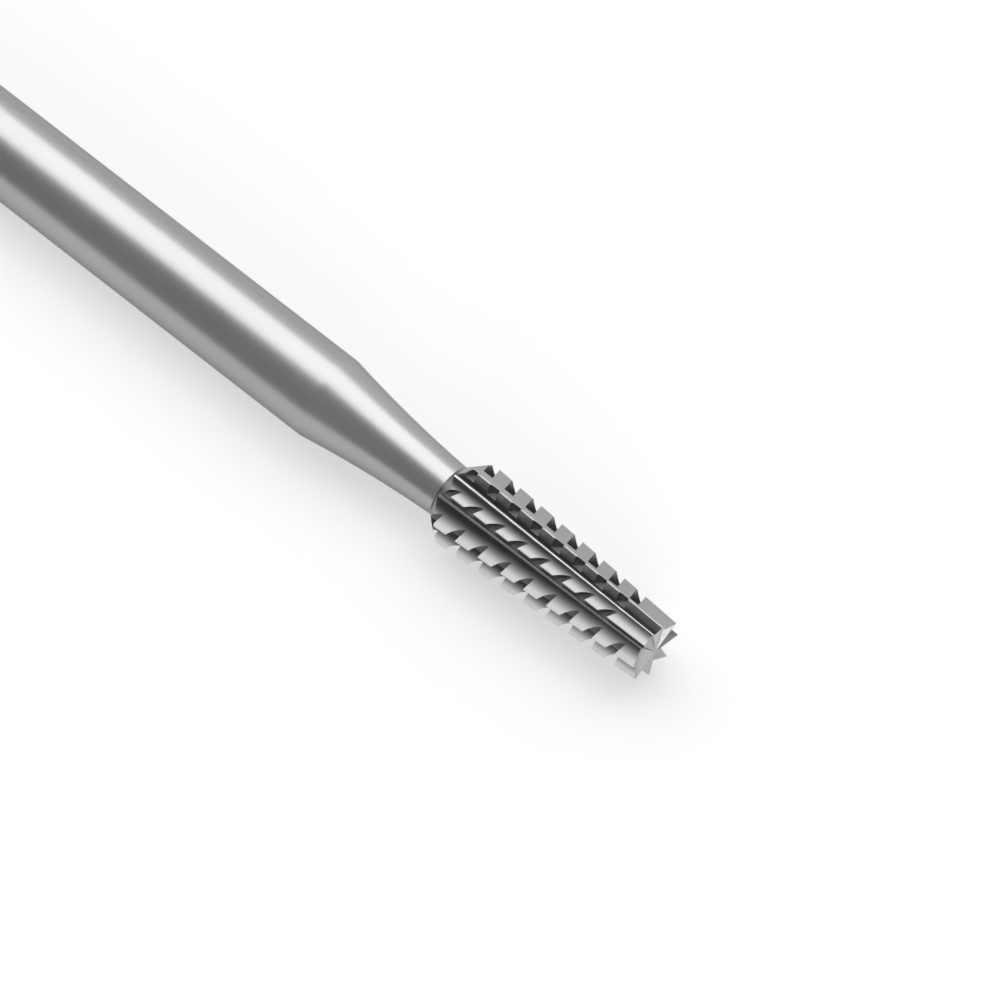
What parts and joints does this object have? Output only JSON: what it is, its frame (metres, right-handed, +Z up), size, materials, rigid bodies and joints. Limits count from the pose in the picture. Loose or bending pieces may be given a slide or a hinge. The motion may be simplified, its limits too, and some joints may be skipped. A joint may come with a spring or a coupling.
{
  "type": "tapered cross-cut fissure bur",
  "caption": "Ground steel rotary cutter: straight handpiece shank, necked-down part, and a slightly tapered, square-ended head with straight teeth, staggered cross-cut notches and end teeth.",
  "frame": {"origin": "centre of the flat rear end of the shank, on the tool's axis", "axes": "+X along the tool's axis towards the cutting end; +Z up with the bur lying on its shank"},
  "size_m": [0.0445, 0.0024, 0.0024],
  "materials": {
    "ground_steel": "fine-ground, bare"
  },
  "bodies": {
    "root": {"crosscut_bur": "ground_steel"}
  },
  "joints": []
}
